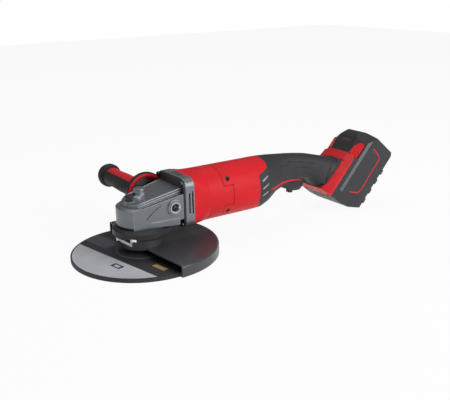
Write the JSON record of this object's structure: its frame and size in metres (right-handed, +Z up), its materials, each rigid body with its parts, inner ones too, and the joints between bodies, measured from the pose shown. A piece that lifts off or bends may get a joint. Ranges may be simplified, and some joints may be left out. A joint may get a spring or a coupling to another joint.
{
  "type": "cordless angle grinder",
  "caption": "Cordless large angle grinder with grinding wheel, swivelling guard, side handle, paddle trigger and slide-on battery pack",
  "frame": {"origin": "on the spindle axis, in the plane of the wheel's underside, which is the surface the tool stands on", "axes": "+Z is up along the spindle axis, +X runs from the gear head towards the battery, +Y is the side the side handle is fitted to"},
  "size_m": [0.6407, 0.3378, 0.1418],
  "materials": {
    "case_paint": "satin grey coat over a die casting",
    "red_plastic": "fine-grained satin red moulding",
    "black_plastic": "fine-grained satin black moulding",
    "grip_rubber": "soft overmoulded rubber",
    "guard_paint": "semi-gloss black powder coat on sheet steel",
    "lever_chrome": "bright plated steel",
    "bright_steel": "ground and plated steel",
    "dark_steel": "blackened steel",
    "laminations": "stacked silicon-steel laminations",
    "magnet_nickel": "nickel-plated magnets",
    "copper_wire": "enamelled copper windings",
    "seal_rubber": "nitrile seal",
    "disc_abrasive": "resin-bonded abrasive with a paper label",
    "screen_grey": "light grey dust screen",
    "module_potting": "potted electronics",
    "gauge_grey": "grey moulded button",
    "cell_wrap": "shrink-wrapped cells",
    "board_green": "printed circuit board"
  },
  "bodies": {
    "machine": {"gear_case": "case_paint", "handle_inserts": "bright_steel", "flange_bezel": "black_plastic", "flange_plate": "case_paint", "housing_screws": "dark_steel", "gear_case_screws": "dark_steel", "bearing_retainer": "black_plastic", "retainer_screws": "dark_steel", "spindle_seal": "seal_rubber", "spindle_bearing_lower": "bright_steel", "spindle_bearing_upper": "bright_steel", "lock_spring": "bright_steel", "rotor_bearing_front": "bright_steel", "rotor_bearing_rear": "bright_steel", "motor_housing": "red_plastic", "stator_core": "laminations", "stator_windings": "copper_wire", "motor_end_bracket": "black_plastic", "barrel_shell_left": "red_plastic", "barrel_shell_right": "red_plastic", "grip_shell_left": "grip_rubber", "grip_shell_right": "grip_rubber", "shell_screws": "dark_steel", "vent_screens": "screen_grey", "grip_lip": "red_plastic", "paddle_pin": "bright_steel", "trigger_switch": "black_plastic", "control_module": "module_potting", "battery_foot": "red_plastic", "terminal_block": "black_plastic"},
    "spindle": {"spindle": "dark_steel", "bevel_gear": "dark_steel", "inner_flange": "dark_steel", "grinding_disc": "disc_abrasive", "lock_nut": "bright_steel"},
    "rotor": {"bevel_pinion": "dark_steel", "rotor_shaft": "dark_steel", "rotor_core": "laminations", "rotor_magnets": "magnet_nickel", "cooling_fan": "black_plastic"},
    "spindle_lock": {"lock_button": "black_plastic"},
    "wheel_guard": {"guard": "guard_paint", "guard_collar": "guard_paint"},
    "guard_clamp": {"guard_lever": "lever_chrome"},
    "paddle": {"trigger_paddle": "black_plastic"},
    "lock_off": {"lock_off_lever": "black_plastic"},
    "battery": {"pack_upper_case": "black_plastic", "pack_lower_case": "black_plastic", "pack_cells": "cell_wrap", "pack_board": "board_green"},
    "latch_left": {"pack_latch_left": "red_plastic"},
    "latch_right": {"pack_latch_right": "red_plastic"},
    "gauge": {"gauge_button": "gauge_grey"},
    "side_handle": {"handle_stud": "bright_steel", "handle_flange": "black_plastic", "handle_ring": "red_plastic", "handle_grip": "grip_rubber", "handle_inlay": "red_plastic", "handle_cap": "grip_rubber"}
  },
  "joints": [
    {"name": "spindle_spin", "type": "hinge", "parent": "machine", "child": "spindle", "pos_m": [0, 0, 0.03], "axis": [0, 0, 1], "continuous": true},
    {"name": "rotor_spin", "type": "hinge", "parent": "machine", "child": "rotor", "pos_m": [0.11, 0, 0.082], "axis": [1, 0, 0], "continuous": true},
    {"name": "guard_swivel", "type": "hinge", "parent": "machine", "child": "wheel_guard", "pos_m": [0, 0, 0.03], "axis": [0, 0, 1], "range_deg": [-90, 90]},
    {"name": "clamp_lever", "type": "hinge", "parent": "wheel_guard", "child": "guard_clamp", "pos_m": [-0.03931, 0.00553, 0.0335], "axis": [0, 0, -1], "range_deg": [0, 95]},
    {"name": "lock_press", "type": "slide", "parent": "machine", "child": "spindle_lock", "axis": [0, 0, -1], "range_m": [0, 0.003], "stiffness_N_per_m": 1500, "deforming": ["lock_spring"]},
    {"name": "paddle_squeeze", "type": "hinge", "parent": "machine", "child": "paddle", "pos_m": [0.289, 0, 0.074], "axis": [0, -1, 0], "range_deg": [0, 8], "stiffness_Nm_per_rad": 2},
    {"name": "lock_off_swing", "type": "hinge", "parent": "paddle", "child": "lock_off", "pos_m": [0.306, 0, 0.0605], "axis": [0, 1, 0], "range_deg": [0, 30], "stiffness_Nm_per_rad": 0.1},
    {"name": "pack_slide", "type": "slide", "parent": "machine", "child": "battery", "axis": [0.6678, 0, 0.7443], "range_m": [0, 0.09]},
    {"name": "latch_left_press", "type": "slide", "parent": "battery", "child": "latch_left", "axis": [0.642, 0.506, -0.576], "range_m": [0, 0.0025], "stiffness_N_per_m": 1500},
    {"name": "latch_right_press", "type": "slide", "parent": "battery", "child": "latch_right", "axis": [0.642, -0.506, -0.576], "range_m": [0, 0.0025], "stiffness_N_per_m": 1500},
    {"name": "gauge_press", "type": "slide", "parent": "battery", "child": "gauge", "axis": [0.7443, 0, -0.6678], "range_m": [0, 0.001], "stiffness_N_per_m": 1200},
    {"name": "handle_withdraw", "type": "slide", "parent": "machine", "child": "side_handle", "axis": [0, 1, 0], "range_m": [0, 0.02]}
  ],
  "couplings": [
    {"joint": "rotor_spin", "follows": "spindle_spin", "ratio": 3.6364}
  ]
}
